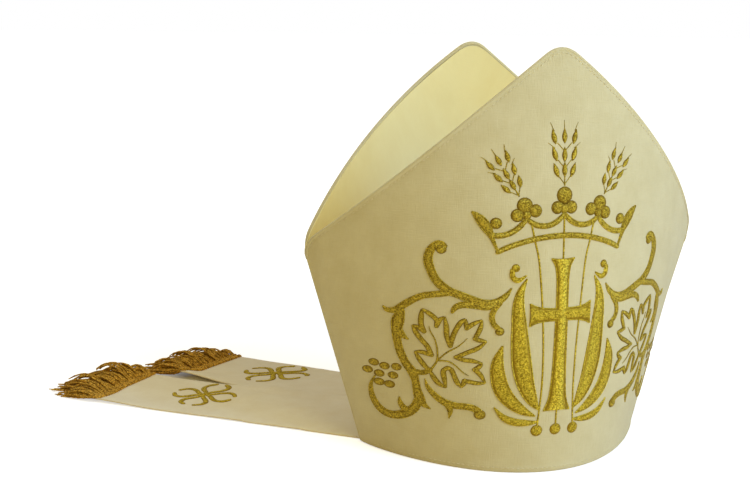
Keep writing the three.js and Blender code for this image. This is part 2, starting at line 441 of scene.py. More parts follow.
def face_point(side, x, z, proud=0.0):
    """The point of the panel's outer face at x and z, moved out of it by proud."""
    depth = panel_depth(side, x, z) + softness(side, x, z) + GAP / 2
    spot = Vector((x, OUTWARD[side] * depth, z))
    return spot + face_normal(side, x, z) * proud if proud else spot


def face_normal(side, x, z, step=0.6):
    across = (panel_depth(side, x + step, z) - panel_depth(side, x - step, z)) / (2 * step)
    upward = (panel_depth(side, x, z + step) - panel_depth(side, x, z - step)) / (2 * step)
    return Vector((-across, OUTWARD[side], -upward)).normalized()


print("front middle at the shoulders:", [round(c, 1) for c in face_point("front", 0, 150)])


# %% [markdown]
# ## Making a sheet from a grid
# A stiff panel is made like a paper model: a flat grid is added with a known number of
# columns and rows, and each corner is moved to its place on the rules above. The grid's own
# UV map is then set to real lengths, across and up, so that a thread is as wide on the
# curved cloth as it is on the bolt.

# %% Grid and finish helpers
def deselect_all():
    for picked in bpy.context.selected_objects:
        picked.select_set(False)


def make_active(piece):
    deselect_all()
    piece.select_set(True)
    bpy.context.view_layer.objects.active = piece


def shaped_grid(name, columns, rows, place):
    """A grid whose corner in column i and row j goes to place(i, j), in millimetres."""
    deselect_all()
    bpy.ops.mesh.primitive_grid_add(x_subdivisions=columns - 1, y_subdivisions=rows - 1)
    piece = bpy.context.object
    piece.name = piece.data.name = name
    spots = [[place(i, j) for i in range(columns)] for j in range(rows)]
    flat = [c * MM for row in spots for spot in row for c in spot]
    piece.data.vertices.foreach_set("co", flat)
    lengths = []
    climbs = [0.0] * columns
    for j, row in enumerate(spots):
        run = [0.0]
        for left, right in zip(row, row[1:]):
            run.append(run[-1] + (right - left).length)
        if j:
            climbs = [climb + (row[i] - spots[j - 1][i]).length
                      for i, climb in enumerate(climbs)]
        lengths += [((u - run[columns // 2]) * MM, climb * MM)
                    for u, climb in zip(run, climbs)]
    layer = piece.data.uv_layers.active.data
    for loop in piece.data.loops:
        layer[loop.index].uv = lengths[loop.vertex_index]
    piece.data.update()
    return piece


def edit(piece, *steps):
    """Runs edit-mode operators on the whole of piece."""
    make_active(piece)
    bpy.ops.object.mode_set(mode="EDIT")
    bpy.ops.mesh.select_all(action="SELECT")
    for step in steps:
        step()
    bpy.ops.object.mode_set(mode="OBJECT")


def weld():
    bpy.ops.mesh.remove_doubles(threshold=0.00002)


def close_ends():
    bpy.ops.mesh.select_all(action="DESELECT")
    bpy.ops.mesh.select_non_manifold(extend=False)
    bpy.ops.mesh.fill(use_beauty=True)
    bpy.ops.mesh.select_all(action="SELECT")


def face_out():
    bpy.ops.mesh.normals_make_consistent(inside=False)


def finish(piece, slot, *materials, angle=40):
    """Materials, smooth shading, and the body that the piece belongs to; slot is not used."""
    piece.data.materials.clear()
    for material in materials:
        piece.data.materials.append(material)
    make_active(piece)
    bpy.ops.object.shade_smooth_by_angle(angle=math.radians(angle))
    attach(piece, "root")
    piece.data.calc_loop_triangles()
    print(piece.name, "has", len(piece.data.loop_triangles), "triangles")
    return piece


# %% [markdown]
# ## The two panels
# Each panel is stiffened cloth, 2.5 mm thick. Its upper edge is rolled over a cord, so it
# shows as a soft bead 3 mm thick, and its rim is turned up inside in a narrow hem. The
# section through the wall is drawn once, as a loop of laps: up the outer face, round the
# bead, down the inner face and round the rim. Each grid column is that loop at one place
# along the edge, so the bead follows the whole edge without a join.

# %% The section of a panel
BEAD, RIM_ROLL = 1.45, WALL / 2
HEM_TOP, HEM_PROUD = 4.8, 0.25
BAND = [8.0, 6.2, 4.8, 4.1, 3.7, 3.3, 2.9, 2.5]
GROOVE = {4.1: -0.05, 3.7: -0.18, 3.3: -0.05}
SEAM = 3.7
RIM_LIFT = {"height": 2.1, "full": 0.22, "none": 0.45}
UPRIGHT_ROWS, INNER_ROWS = 46, 16


def wall_laps():
    """The loop of laps as (kind, value) pairs."""
    rise = [0, 0.006, 0.012, 0.0145, 0.02] + [
        0.02 + 0.98 * step / UPRIGHT_ROWS for step in range(1, UPRIGHT_ROWS + 1)]
    laps = [("outer", share) for share in rise]
    laps += [("outer band", drop) for drop in BAND[1:]]
    laps += [("bead", angle) for angle in range(-40, 221, 20)]
    laps += [("inner band", drop) for drop in (3.6, 8.0)]
    laps += [("inner", 1 - step / INNER_ROWS) for step in range(1, INNER_ROWS + 1)]
    laps += [("rim", angle) for angle in (150, 120, 90, 60, 30)]
    return laps + [("outer", 0)]


LAPS = wall_laps()


def edge_places():
    """Places along the upper edge, -1 to 1, closer together at the peak and the shoulders."""
    half = [PEAK_BLUNT * step / 9 for step in range(9)]
    half += [mix(PEAK_BLUNT, 1 - SHOULDER_BLUNT, step / 44) for step in range(44)]
    half += [1 - SHOULDER_BLUNT * (1 - step / 14) for step in range(15)]
    return [-place for place in half[:0:-1]] + half


PLACES = edge_places()
print(len(PLACES), "columns and", len(LAPS), "laps a panel")


# %% One column of a panel
def signed_edge(place):
    x, z = upper_edge(abs(place))
    return math.copysign(x, place), z


def inner_point(side, x, z):
    """The inner face behind the outer face's point at x and z."""
    within = x / half_width(z) * (half_width(z) - WALL)
    depth = panel_depth(side, within, z, WALL) + softness(side, x, z) + GAP / 2
    return Vector((within, OUTWARD[side] * depth, z))


def edge_frame(side, place):
    """On the edge at place: its point, the way up within the face, and the face's normal."""
    x, z = signed_edge(place)
    top = face_point(side, x, z)
    before, after = (face_point(side, *signed_edge(min(1, max(-1, place + step))))
                     for step in (-0.004, 0.004))
    normal = face_normal(side, x * 0.995, z - 0.3)
    upward = normal.cross(after - before).normalized()
    upward *= math.copysign(1, upward.z) if abs(place) < 0.97 else 1
    low = z - 4
    column = (top - face_point(side, x / half_width(z) * half_width(low), low)).normalized()
    if upward.dot(column) < 0:
        upward = -upward
    upward = upward.lerp(column, smooth(abs(place), 0.965, 1)).normalized()
    return top, upward, normal


def bottom_of(side, place):
    if side == "front":
        return 0.0
    height, full, none = (RIM_LIFT[key] for key in ("height", "full", "none"))
    return height * (1 - smooth(abs(place), full, none))


def panel_column(side, place):
    """The whole section of a panel at place, one point a lap."""
    top, upward, normal = edge_frame(side, place)
    start = top - upward * BAND[0]
    x, z = signed_edge(place)
    low = bottom_of(side, place) + RIM_ROLL
    share, share_top = x / half_width(z), start.x / half_width(start.z)
    points = []
    for kind, value in LAPS:
        if kind in ("outer", "inner"):
            height = mix(low, start.z, value)
            across = mix(share, share_top, value ** 2) * half_width(height)
            if kind == "inner":
                points.append(inner_point(side, across, height))
            else:
                hem = HEM_PROUD if 0.1 < height - low + RIM_ROLL < HEM_TOP else 0
                points.append(face_point(side, across, height, hem))
        elif kind in ("outer band", "inner band"):
            spot = top - upward * value
            if kind == "inner band":
                points.append(inner_point(side, spot.x, spot.z))
            else:
                points.append(face_point(side, spot.x, spot.z, GROOVE.get(value, 0.0)))
        elif kind == "bead":
            centre = top - upward * BEAD
            centre = (centre + inner_point(side, centre.x, centre.z)) / 2
            turn = math.radians(value)
            points.append(centre + (normal * math.cos(turn) + upward * math.sin(turn)) * BEAD)
        else:
            outer = face_point(side, share * half_width(low), low)
            inner = inner_point(side, share * half_width(low), low)
            turn = math.radians(value)
            points.append((outer + inner) / 2 + (outer - inner) / 2 * math.cos(turn)
                          - Vector((0, 0, RIM_ROLL * math.sin(turn))))
    for point in points:
        point.y = OUTWARD[side] * max(GAP / 2, OUTWARD[side] * point.y)
    if abs(place) == 1:
        for point in points:
            point.y = OUTWARD[side] * GAP / 2
    return points


# %% Front and back
def make_panel(side):
    columns = [panel_column(side, place) for place in PLACES]
    piece = shaped_grid(f"{side}_cloth", len(PLACES), len(LAPS), lambda i, j: columns[i][j])
    edit(piece, weld, close_ends, face_out)
    finish(piece, "cloth", cream_cloth, angle=50)
    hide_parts(f"{side}_panel")
    return piece


for panel_side in ("front", "back"):
    make_panel(panel_side)


# %% [markdown]
# ## The lining
# The lining is yellow satin, cut as one strip and sewn under both beads, so it hangs between
# the peaks like a trough. It is a single grid from the front edge, down and up again to the
# back edge. Satin puckers where it runs out at the shoulders, so small wrinkles grow there.
# The Solidify modifier then gives the cloth its own thickness.

# %% Satin lining
LINING = {"below": 3.2, "floor": 139.6, "reach": 0.975, "off": WALL + 1.3, "thick": 0.7}
LINING_COLUMNS, LINING_ROWS = 121, 61
# At the folds the rows would all fall on one line, so they are kept this far apart in all.
END_SPREAD = 0.8


def pucker(place, turn):
    """Small folds in the satin that grow towards the shoulders, in millimetres."""
    strength = 0.25 + 1.3 * smooth(abs(place), 0.62, 0.95)
    fold = noise.noise(Vector((place * 26, turn * 5, 2.7)))
    broad = noise.noise(Vector((place * 6, turn * 2.2, 8.1)))
    return strength * fold + 0.9 * broad


def lining_point(i, j):
    place = mix(-1, 1, i / (LINING_COLUMNS - 1)) * LINING["reach"]
    share = j / (LINING_ROWS - 1)
    x, top = signed_edge(place)
    dip = math.sin(math.pi * share) ** 0.5
    swing = math.cos(math.pi * share)
    z = mix(top - LINING["below"], LINING["floor"], dip)
    side = "front" if swing > 0 else "back"
    held = 1 - abs(2 * share - 1) ** 6
    room = panel_depth(side, x, z, LINING["off"])
    depth = max(0.0, room - max(0, pucker(place, share) + 0.6) * held)
    y = OUTWARD[side] * abs(swing) ** 0.5 * depth - END_SPREAD / 2 * swing
    return Vector((x, y, z + 0.3 * held))


def apply_solidify(piece, thick):
    make_active(piece)
    thickness = piece.modifiers.new("cloth thickness", "SOLIDIFY")
    thickness.thickness, thickness.offset = thick * MM, 0
    bpy.ops.object.modifier_apply(modifier=thickness.name)


lining = shaped_grid("satin_lining", LINING_COLUMNS, LINING_ROWS, lining_point)
edit(lining, face_out)
apply_solidify(lining, LINING["thick"])
finish(lining, "lining", yellow_satin, angle=60)
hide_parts("lining")


# %% [markdown]
# ## Stitches
# A row of small stitches holds the bead, and another holds the hem at the rim. Each stitch is
# a short plump thread whose ends dive into the cloth. One is modelled, and the rest are laid
# along the edge, all in one mesh, with the spacing of a domestic machine.

# %% Needlework: rings of points made into tubes
class Needlework:
    """Gathers many small closed bodies of thread into the corners and faces of one mesh."""

    def __init__(self):
        self.corners, self.faces, self.patterns, self.shades = [], [], [], []

    def tube(self, rings, patterns, shade=0):
        """Rings of equal count, joined side by side and closed at both ends."""
        start, count = len(self.corners), len(rings[0])
        for ring, pattern in zip(rings, patterns):
            self.corners += [point * MM for point in ring]
            self.patterns += pattern
        for step in range(len(rings) - 1):
            low = start + step * count
            for k in range(count):
                after = (k + 1) % count
                self.faces.append((low + k, low + after, low + count + after, low + count + k))
                self.shades.append(shade)
        last = start + (len(rings) - 1) * count
        self.faces.append(tuple(range(start, start + count)))
        self.faces.append(tuple(range(last + count - 1, last - 1, -1)))
        self.shades += [shade, shade]

    def cord(self, line, radii, shade=0, sides=6, ply=0.0, turns=0.0):
        """A round cord along a line of points; ply and turns give it a twisted surface."""
        rings, patterns, run = [], [], 0.0
        steep = abs((line[-1] - line[0]).normalized().z) > 0.9
        reference = Vector((0.02, 1, 0.013)) if steep else Vector((0.013, 0.021, 1))
        for step, (point, radius) in enumerate(zip(line, radii)):
            ahead = line[min(step + 1, len(line) - 1)] - line[max(step - 1, 0)]
            run += (point - line[step - 1]).length if step else 0
            side = ahead.cross(reference).normalized()
            rise = side.cross(ahead).normalized()
            ring = []
            for k in range(sides):
                angle = 2 * math.pi * k / sides
                bulge = radius * (1 + ply * math.cos(2 * angle - turns * run))
                ring.append(point + (side * math.cos(angle) + rise * math.sin(angle)) * bulge)
            rings.append(ring)
            patterns.append([(run * MM, 0.3 * math.cos(2 * math.pi * k / sides))
                             for k in range(sides)])
        self.tube(rings, patterns, shade)

    def mesh(self, name):
        """The gathered bodies as one object, every face turned outwards."""
        data = bpy.data.meshes.new(name)
        data.from_pydata(self.corners, [], self.faces)
        layer = data.uv_layers.new(name="along_and_across")
        for loop in data.loops:
            layer.data[loop.index].uv = self.patterns[loop.vertex_index]
        data.polygons.foreach_set("material_index", self.shades)
        shell = bmesh.new()
        shell.from_mesh(data)
        bmesh.ops.recalc_face_normals(shell, faces=shell.faces)
        shell.to_mesh(data)
        shell.free()
        piece = bpy.data.objects.new(name, data)
        bpy.context.collection.objects.link(piece)
        return piece


# %% The rows of stitches
STITCH, STITCH_GAP, STITCH_RADIUS = 2.3, 1.1, 0.26


def lay_stitches(work, line, normals, phase=0.0):
    """Stitches along a line of points: each dips into the cloth at its ends."""
    run, spot = [0.0], phase
    for a, b in zip(line, line[1:]):
        run.append(run[-1] + (b - a).length)

    def at(distance):
        k = max(i for i, r in enumerate(run[:-1]) if r <= distance)
        share = (distance - run[k]) / max(1e-6, run[k + 1] - run[k])
        return line[k].lerp(line[k + 1], share), normals[k]

    while spot + STITCH < run[-1]:
        points = []
        for part, dip in ((0, -0.3), (0.2, 0.12), (0.5, 0.22), (0.8, 0.12), (1, -0.3)):
            point, normal = at(spot + STITCH * part)
            points.append(point + normal * dip)
        work.cord(points, [STITCH_RADIUS * r for r in (0.7, 1, 1, 1, 0.7)], sides=5)
        spot += STITCH + STITCH_GAP


def stitch_rows():
    work = Needlework()
    for side in ("front", "back"):
        line, normals = [], []
        for place in PLACES[2:-2]:
            top, upward, normal = edge_frame(side, place)
            spot = top - upward * SEAM
            line.append(face_point(side, spot.x, spot.z, -0.15))
            normals.append(normal)
        lay_stitches(work, line, normals, 1.0)
        line, normals = [], []
        for step in range(161):
            share = mix(-0.97, 0.97, step / 160)
            place = share * half_width(upper_edge(abs(share))[1]) / SHOULDER_HALF_WIDTH
            z = bottom_of(side, place) + 3.6
            line.append(face_point(side, share * half_width(z), z, HEM_PROUD))
            normals.append(face_normal(side, share * half_width(z), z))
        lay_stitches(work, line, normals)
    return work.mesh("panel_stitches")


finish(stitch_rows(), "cloth", sewing_thread, angle=60)


# %% [markdown]
# ## The side seams
# The two panels meet in a fold at each side. They are two separate grids here, so a thin dark
# line is left between them, and a small gap where their beads end. A fine cord of the same
# cloth covers the line, and a bar tack of close stitches covers the gap. Both are a way for
# this model to close its join: a real mitre may be sewn from inside and show neither.

# %% Seam cords and bar tacks
SEAM_RADIUS, SEAM_STEPS, SEAM_SUNK = 0.65, 70, 0.25
TACK_RADIUS, TACKS, TACK_PITCH, TACK_LOW = 0.42, 9, 0.85, 3.4
TACK_SPREAD = (-1.7, -1.2, -0.5, 0.5, 1.2, 1.7)
FOLD_TOP = upper_edge(1)[1]


def seam_cord(sign):
    work = Needlework()
    heights = [0.7 + (FOLD_TOP - 0.5) * step / SEAM_STEPS for step in range(SEAM_STEPS + 1)]
    line = [Vector((sign * (half_width(z) - SEAM_SUNK), 0, z)) for z in heights]
    work.cord(line, [SEAM_RADIUS] * len(line), sides=8)
    return work.mesh("right_fold_cord" if sign > 0 else "left_fold_cord")


def bar_tacks():
    work = Needlework()
    for sign in (-1, 1):
        for step in range(TACKS):
            z = FOLD_TOP - TACK_LOW + step * TACK_PITCH
            x = half_width(min(z, FOLD_TOP)) - 0.1
            wrap = [Vector((sign * (x - 1.6 * abs(y) ** 1.5 * 0.42 + 0.75 - 0.1 * abs(y)), y, z))
                    for y in TACK_SPREAD]
            work.cord(wrap, [TACK_RADIUS] * len(wrap), sides=6)
    return work.mesh("fold_bar_tacks")


for fold_sign in (-1, 1):
    finish(seam_cord(fold_sign), "cloth", cream_cloth)
finish(bar_tacks(), "cloth", sewing_thread, angle=60)


# %% [markdown]
# ## Gold embroidery
# Embroidery is drawn flat on the cloth before it is worked, so each stroke is a short table
# of x, z and half width on the front panel. A smooth line runs through the points, and a
# domed ribbon of thread is laid along it on the curved cloth, closed underneath, with a thin
# cord of darker thread down each side. The motif is symmetric, so one half is drawn and
# mirrored. The middle is a plain cross between leaf blades.

# %% A smooth line through a table
def catmull(values, share):
    """The smooth curve through four (x, z, half width) rows, between the middle two."""
    a, b, c, d = values
    return [0.5 * (2 * q + (r - p) * share + (2 * p - 5 * q + 4 * r - s) * share ** 2
                   + (3 * q - p - 3 * r + s) * share ** 3)
            for p, q, r, s in zip(a, b, c, d)]


def smooth_line(table, spacing=1.1):
    """Rows about spacing apart along the smooth line through the table."""
    rows = [table[0], *table, table[-1]]
    line = []
    for k in range(1, len(rows) - 2):
        length = math.dist(rows[k][:2], rows[k + 1][:2])
        steps = max(1, round(length / spacing))
        line += [catmull(rows[k - 1:k + 3], step / steps) for step in range(steps)]
    return line + [list(table[-1])]


def rounded_ends(line):
    """The line with both ends drawn out into half circles, unless they are already fine."""
    for _ in range(2):
        (x, z, half), near = line[0], line[1]
        if half > 0.8:
            away = Vector((x - near[0], z - near[1])).normalized()
            caps = [[x + away.x * half * 0.9 * math.sin(turn),
                     z + away.y * half * 0.9 * math.sin(turn), half * math.cos(turn)]
                    for turn in (1.5, 1.25, 0.95, 0.55)]
            line = caps + line
        line.reverse()
    return line


# %% A stroke of thread on the cloth
DOME = (-1, -0.82, -0.5, 0, 0.5, 0.82, 1)
OUTLINE, SUNK = 0.5, -0.35


def stroke(work, lay, table, shades=(0, 1), rise=0.85, rounded=True, outline=True, spacing=1.1):
    """A domed ribbon along the table, and a cord down each side. lay(x, z, proud) is a point."""
    line = smooth_line(table, spacing)
    if rounded:
        line = rounded_ends(line)
    rings, patterns, edges, run = [], [], ([], []), 0.0
    for step, (x, z, half) in enumerate(line):
        before, after = line[max(step - 1, 0)], line[min(step + 1, len(line) - 1)]
        run += math.dist(line[step][:2], before[:2])
        along = Vector((after[0] - before[0], after[1] - before[1])).normalized()
        side = Vector((-along.y, along.x))
        half = max(half, 0.08)
        top = min(rise, 0.3 + 0.35 * half)
        ring = [lay(x + side.x * half * k, z + side.y * half * k,
                    SUNK + (top - SUNK) * (1 - k * k) ** 0.4) for k in DOME]
        ring += [lay(x + side.x * half * k, z + side.y * half * k, SUNK - 0.3)
                 for k in (0.9, -0.9)]
        rings.append(ring)
        patterns.append([(run * MM, k) for k in DOME] + [(run * MM, 1), (run * MM, -1)])
        for edge, sign in zip(edges, (-1, 1)):
            off = sign * max(half - 0.25, 0.05)
            edge.append(lay(x + side.x * off, z + side.y * off, 0.15))
    work.tube(rings, patterns, shades[0])
    if outline and max(row[2] for row in table) > 1.3:
        for edge in edges:
            work.cord(edge, [OUTLINE] * len(edge), shades[1], sides=5)


def dot(work, lay, x, z, radius, shade=0, rise=1.1):
    """A round padded dot of thread."""
    around = [2 * math.pi * k / 14 for k in range(14)]
    rings, patterns = [], []
    for share, height in ((0.9, -0.65), (1, -0.35), (0.98, 0.1), (0.82, 0.62),
                          (0.5, 0.93), (0.12, 1.0)):
        rings.append([lay(x + radius * share * math.cos(a), z + radius * share * math.sin(a),
                          height * rise if height > 0 else height) for a in around])
        patterns.append([(radius * share * math.cos(a) * MM, share * 0.85) for a in around])
    work.tube(rings, patterns, shade)


def on_front(x, z, proud):
    return face_point("front", x, z, proud)


def mirrored(lay):
    return lambda x, z, proud: lay(-x, z, proud)


print("needlework tools ready")


# %% [markdown]
# ## The vine
# Each side of the motif is a vine: a stem that curls at both ends, a vine leaf in outline
# with three veins, and a small bunch of grapes. The tables give the left half. The leaf's
# outline is worked in short strokes that meet in its points and notches.

# %% Vine scrolls
VINE = [
    [(-77.2, 153.4, 1.8), (-75.4, 156.4, 2), (-78.6, 158.2, 2), (-82, 155.4, 2.2),
     (-84, 150.3, 2.5), (-84, 145.2, 2.6), (-82.3, 139.8, 2.5), (-79.7, 134.2, 2.5),
     (-75.7, 129.6, 2.7), (-71, 126.5, 2.5), (-65, 124.2, 2.5), (-58.9, 121.9, 2.5),
     (-52.7, 119.9, 2.5), (-47, 119.6, 2.4), (-41.7, 121.7, 2.1), (-37.4, 125.5, 1.5),
     (-34.4, 130.2, 0.2)],
    [(-71, 125.6, 2), (-75, 124.6, 2), (-80.4, 123.4, 2), (-86.1, 121.9, 2),
     (-91.2, 118.7, 2.1), (-95.8, 114.6, 2.2), (-100.5, 109.9, 2), (-104.3, 109, 1.6),
     (-106.3, 109.9, 1), (-107.4, 111.6, 0.2)],
    [(-69.2, 112.4, 0.9), (-67.5, 115.6, 1.7), (-63.4, 117.8, 2), (-56.4, 117.8, 2.1),
     (-49.3, 117.1, 2), (-44.5, 118.3, 1.5)],
    [(-41, 120.1, 1.3), (-44.8, 114.9, 1.6), (-45.9, 110.1, 1.6), (-44.7, 105.8, 1.6),
     (-42, 102.9, 1.6)],
    [(-97.4, 109.5, 2), (-98.8, 102.7, 3.5), (-99.1, 95.1, 2.8), (-98.2, 87.1, 2.2),
     (-96, 79.3, 2.3), (-92.8, 72.3, 2.3), (-89, 66.6, 2.7), (-87, 60.6, 2.1),
     (-85.7, 54.2, 2.3), (-84, 48.4, 2.8), (-81.5, 43.9, 1.8), (-77.6, 41.5, 0.2)],
    [(-97.4, 94.9, 2), (-95.2, 91.8, 1.5), (-92.3, 89.9, 0.2)],
    [(-89.1, 67.8, 1.5), (-86.1, 67.2, 1.6), (-82.6, 67.6, 1.6), (-79.7, 69.9, 1.5)],
    [(-84.7, 46.6, 2.2), (-86, 40.7, 2.6), (-89.1, 36.1, 2.9), (-93.4, 32.4, 2.9),
     (-98.2, 31.2, 2.7), (-102.4, 33, 2.3), (-106, 37.4, 1.8), (-108.6, 44, 1.4),
     (-109.6, 51.7, 0.9), (-108, 59, 0.3)],
    [(-89.6, 37, 2.2), (-92.3, 39.4, 1.8), (-94, 42.7, 1.2), (-94.5, 46.3, 0.2)],
    [(-82, 63, 0.2), (-80.3, 57.8, 1.1), (-76.9, 53.1, 1.7), (-72.8, 49.4, 2.1),
     (-68.6, 47.2, 2.4), (-63.7, 46.4, 2.2), (-58.2, 46.5, 2.1), (-53.6, 45.7, 2.2),
     (-50.8, 43.9, 2.2)],
    [(-68.6, 46.4, 2), (-66.8, 42, 1.5), (-67.1, 36.6, 0.2)],
]
VINE_DOTS = [(-77, 154.4, 3.2), (-40.8, 100.8, 3), (-49.8, 41.6, 3.7)]
GRAPES = [(-112.3, 62.3, 2.9), (-109.6, 68.8, 2.9), (-103.9, 67.5, 2.9), (-97.7, 68.4, 2.9),
          (-106.2, 61.1, 2.9), (-99, 61.6, 2.9), (-105.7, 54.6, 3), (-100.3, 54.4, 3)]


# %% Vine leaf
LEAF = [(-79.7, 69.7, 1), (-82.4, 72.1, 0), (-85.7, 76.7, 0), (-88.6, 81.7, 1), (-84.6, 82, 0),
        (-79.4, 80.7, 2), (-82, 86.6, 0), (-85.7, 91.2, 0), (-88.8, 95.8, 0), (-90.8, 100.4, 1),
        (-87.6, 99.4, 0), (-84.3, 96.8, 2), (-86.2, 102, 0), (-86.4, 107.6, 0),
        (-86.2, 112.6, 1), (-82.4, 110.2, 0), (-77.9, 106, 0), (-77.6, 101.6, 2),
        (-76.2, 106, 0), (-73.4, 108.6, 1), (-72.2, 102, 0), (-71.6, 95.4, 0),
        (-69.3, 88.6, 2), (-68.4, 94.1, 0), (-66.7, 100, 0), (-64, 105.7, 0),
        (-61.6, 108.2, 1), (-60.4, 101.8, 2), (-56.6, 105.3, 0), (-51.7, 108, 1),
        (-52.6, 102.1, 0), (-55.4, 95, 2), (-52.4, 94, 0), (-48.4, 93.6, 1),
        (-53.5, 88.4, 0), (-59, 85.2, 0), (-65.6, 81, 2), (-61, 79.6, 0), (-56.4, 79.4, 0),
        (-50.2, 78, 1), (-52.2, 75.4, 0), (-54.6, 73.4, 2), (-51, 70, 0), (-47.8, 64.4, 1),
        (-53.2, 63.9, 0), (-60, 65, 2), (-60.4, 62.6, 0), (-61.4, 60, 1), (-63.9, 62.9, 0),
        (-65.8, 67.2, 0), (-67.8, 71.7, 0), (-70.1, 72.9, 2), (-72.2, 70.3, 0),
        (-71.5, 65.2, 0), (-70.1, 58.6, 1), (-74.3, 61, 0), (-77.4, 65.1, 0), (-79.7, 69.7, 1)]
VEINS = [
    [(-79.2, 70.2, 0.9), (-76.3, 76.8, 0.7), (-76.3, 84.1, 0.6), (-78, 91.8, 0.5),
     (-80.7, 97.1, 0.4), (-81.8, 101, 0.2)],
    [(-75.9, 77.4, 0.6), (-71.1, 83.6, 0.6), (-64.6, 88.9, 0.5), (-59.8, 95, 0.2)],
    [(-75.9, 77.3, 0.6), (-69.9, 77.5, 0.6), (-65.3, 74.7, 0.5), (-61.2, 70.8, 0.4),
     (-57.6, 68.6, 0.2)],
]


def leaf_strokes():
    """The outline cut at its tips (1) and notches (2): fine at a tip, full in between."""
    strokes, current = [], []
    for x, z, mark in LEAF:
        half = {0: 1.75, 1: 0.75, 2: 1.6}[mark]
        current.append((x, z, half))
        if mark and len(current) > 1:
            strokes.append(current)
            current = [(x, z, half)]
    return strokes


def vine(work, lay):
    for table in VINE:
        stroke(work, lay, table, rise=0.7)
    for x, z, radius in VINE_DOTS:
        dot(work, lay, x, z, radius)
    for x, z, radius in GRAPES:
        dot(work, lay, x, z, radius, rise=0.5)
    for table in leaf_strokes():
        if len(table) == 2:
            (x, z, _), (x2, z2, _) = table
            table = [table[0], ((x + x2) / 2, (z + z2) / 2, 1.6), table[1]]
        stroke(work, lay, table, rise=0.75, outline=False, spacing=0.9)
    for table in VEINS:
        stroke(work, lay, table, shades=(1, 1), rise=0.5, outline=False)


work = Needlework()
vine(work, on_front)
vine(work, mirrored(on_front))
finish(work.mesh("gold_vine"), "gold_thread", stroke_gold, outline_gold, angle=60)


# %% [markdown]
# ## Crown and ears of wheat
# Above the middle stands an open crown with three trefoils, and over it three ears of wheat.
# An ear is nine grains in three columns, each with an awn, on a thin stalk. One ear is drawn,
# and the side ears are the same ear, smaller and leaning outwards.

# %% Crown
HALF_CROWN = [
    [(-59.9, 180.3, 0.3), (-56.5, 177.3, 2.2), (-53, 173.2, 3.2), (-50, 168.8, 2.9),
     (-47.8, 164.4, 1.6), (-45.6, 159, 0.9), (-43.3, 153.8, 0.7)],
    [(-47.9, 165.4, 1.5), (-44.5, 164.8, 1.7), (-40.7, 165.2, 1.7), (-36.8, 166.4, 1.7),
     (-32.9, 168.6, 1.7), (-29.4, 171.6, 1.7), (-26.2, 175.4, 1.3)],
    [(-25, 175.4, 1.3), (-21.4, 172.9, 1.7), (-17.6, 171.5, 1.7), (-13.4, 171.2, 1.7),
     (-9, 172.1, 1.7), (-4.8, 174.3, 1.7), (-0.6, 178.2, 1.4)],
    [(-43.5, 154.2, 1.5), (-38, 157, 1.7), (-32, 159.3, 1.7), (-25.6, 161.3, 1.7),
     (-19.3, 162.8, 1.7), (-10, 164.2, 1.75), (0.4, 164.8, 1.75)],
]
HALF_CROWN_DOTS = [(-45.1, 172.9, 3.9), (-27.1, 184.7, 5.4), (-31.8, 178.2, 4.5),
                   (-20, 181.2, 4.5), (-25.6, 178.4, 3), (-5, 183.1, 4.5)]
CROWN_DOTS = [(0, 191, 5.8), (0, 182.4, 3.4)]


# %% Ears of wheat
EAR_GRAINS = [(0, 32, 0), (0, 20, 0), (0, 10.4, 0), (-7.4, 31.4, 14), (-6.9, 20.4, 18),
              (-6, 10, 20), (7.4, 31.4, -14), (6.9, 20.4, -18), (6, 10, -20)]
EAR_AWNS = [(-0.2, 42.5, 0), (-10, 41, 3), (10, 41, 6), (-11.6, 28, 4), (11.6, 28, 7)]


def ear(work, lay, x0, z0, size, lean):
    """An ear whose stalk starts at x0, z0; lean is in degrees to the left."""
    turn = math.radians(lean)

    def put(x, z):
        return (x0 + size * (x * math.cos(turn) - z * math.sin(turn)),
                z0 + size * (x * math.sin(turn) + z * math.cos(turn)))

    for x, z, tilt in EAR_GRAINS:
        tip = Vector((-math.sin(math.radians(tilt)), math.cos(math.radians(tilt))))
        rows = [(*put(x + tip.x * d, z + tip.y * d), half * size ** 0.5)
                for d, half in ((-4.6, 0.2), (-2.6, 1.5), (0, 2.1), (2.8, 1.3), (5.4, 0.1))]
        stroke(work, lay, rows, rise=0.9, outline=False, spacing=1.0, rounded=False)
    for x, z, grain in EAR_AWNS:
        gx, gz, _ = EAR_GRAINS[grain]
        stroke(work, lay, [(*put(gx, gz + 4), 0.42), (*put(x, z), 0.12)], shades=(1, 1),
               rise=0.35, outline=False)
    stroke(work, lay, [(*put(0, 0), 0.6), (*put(0, 6), 0.5)], rise=0.4, outline=False)
    for x, z, _ in EAR_GRAINS[3:]:
        stroke(work, lay, [(*put(0, max(0, z - 9)), 0.4), (*put(x * 0.7, z - 3.5), 0.35)],
               shades=(1, 1), rise=0.35, outline=False)


work = Needlework()
for lay in (on_front, mirrored(on_front)):
    for table in HALF_CROWN:
        stroke(work, lay, table)
    for x, z, radius in HALF_CROWN_DOTS:
        dot(work, lay, x, z, radius)
    ear(work, lay, -30.6, 190.4, 0.83, 30)
for x, z, radius in CROWN_DOTS:
    dot(work, on_front, x, z, radius)
ear(work, on_front, 0, 197, 1.0, 0)
finish(work.mesh("gold_crown_and_wheat"), "gold_thread", stroke_gold, outline_gold, angle=60)


# %% [markdown]
# ## The middle: a cross between blades
# The middle of the motif carries the most gold: wide fills of glittering thread with a darker
# outline. It is a plain cross with flared ends between two pairs of leaf blades. Three
# stalks run from the crown down behind it, each to a small ball under the blades.

